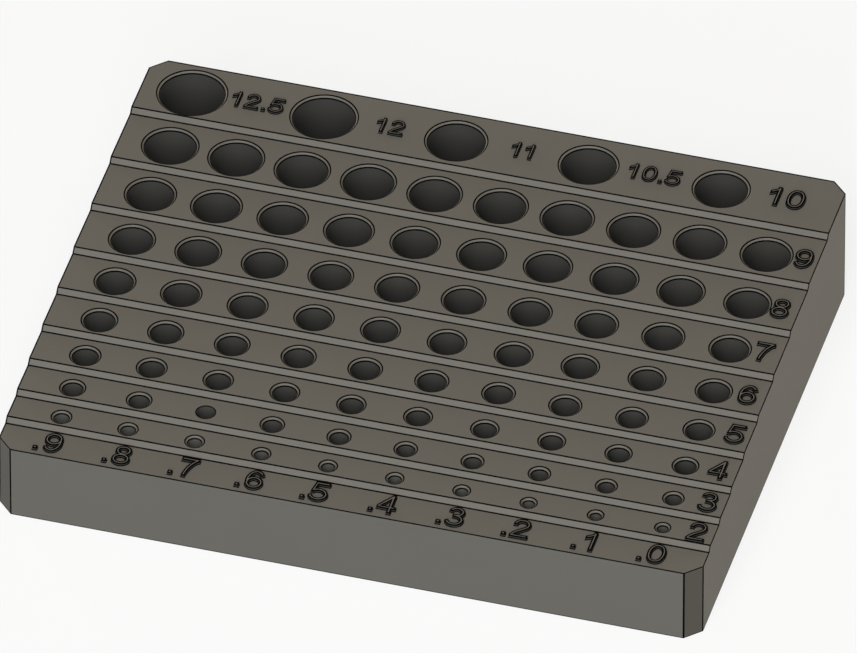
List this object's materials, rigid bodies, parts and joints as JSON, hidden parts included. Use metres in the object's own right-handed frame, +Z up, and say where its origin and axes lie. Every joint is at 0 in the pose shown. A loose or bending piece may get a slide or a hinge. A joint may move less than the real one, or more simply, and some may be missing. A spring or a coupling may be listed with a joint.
{
  "type": "drill bit holder",
  "caption": "Stepped block with a graded field of upright blind bores that hold twist drill bits by size, marked with raised numerals.",
  "frame": {"origin": "middle of the underside", "axes": "+Z up, +X along the tiers towards the first column (the whole sizes), +Y from the low front ledge to the top deck"},
  "size_m": [0.137, 0.107, 0.025],
  "materials": {
    "printed_plastic": "satin warm dark grey printed plastic"
  },
  "bodies": {
    "root": {"label_ledge": "printed_plastic", "tier_2": "printed_plastic", "tier_3": "printed_plastic", "tier_4": "printed_plastic", "tier_5": "printed_plastic", "tier_6": "printed_plastic", "tier_7": "printed_plastic", "tier_8": "printed_plastic", "tier_9": "printed_plastic", "top_deck": "printed_plastic"}
  },
  "joints": []
}
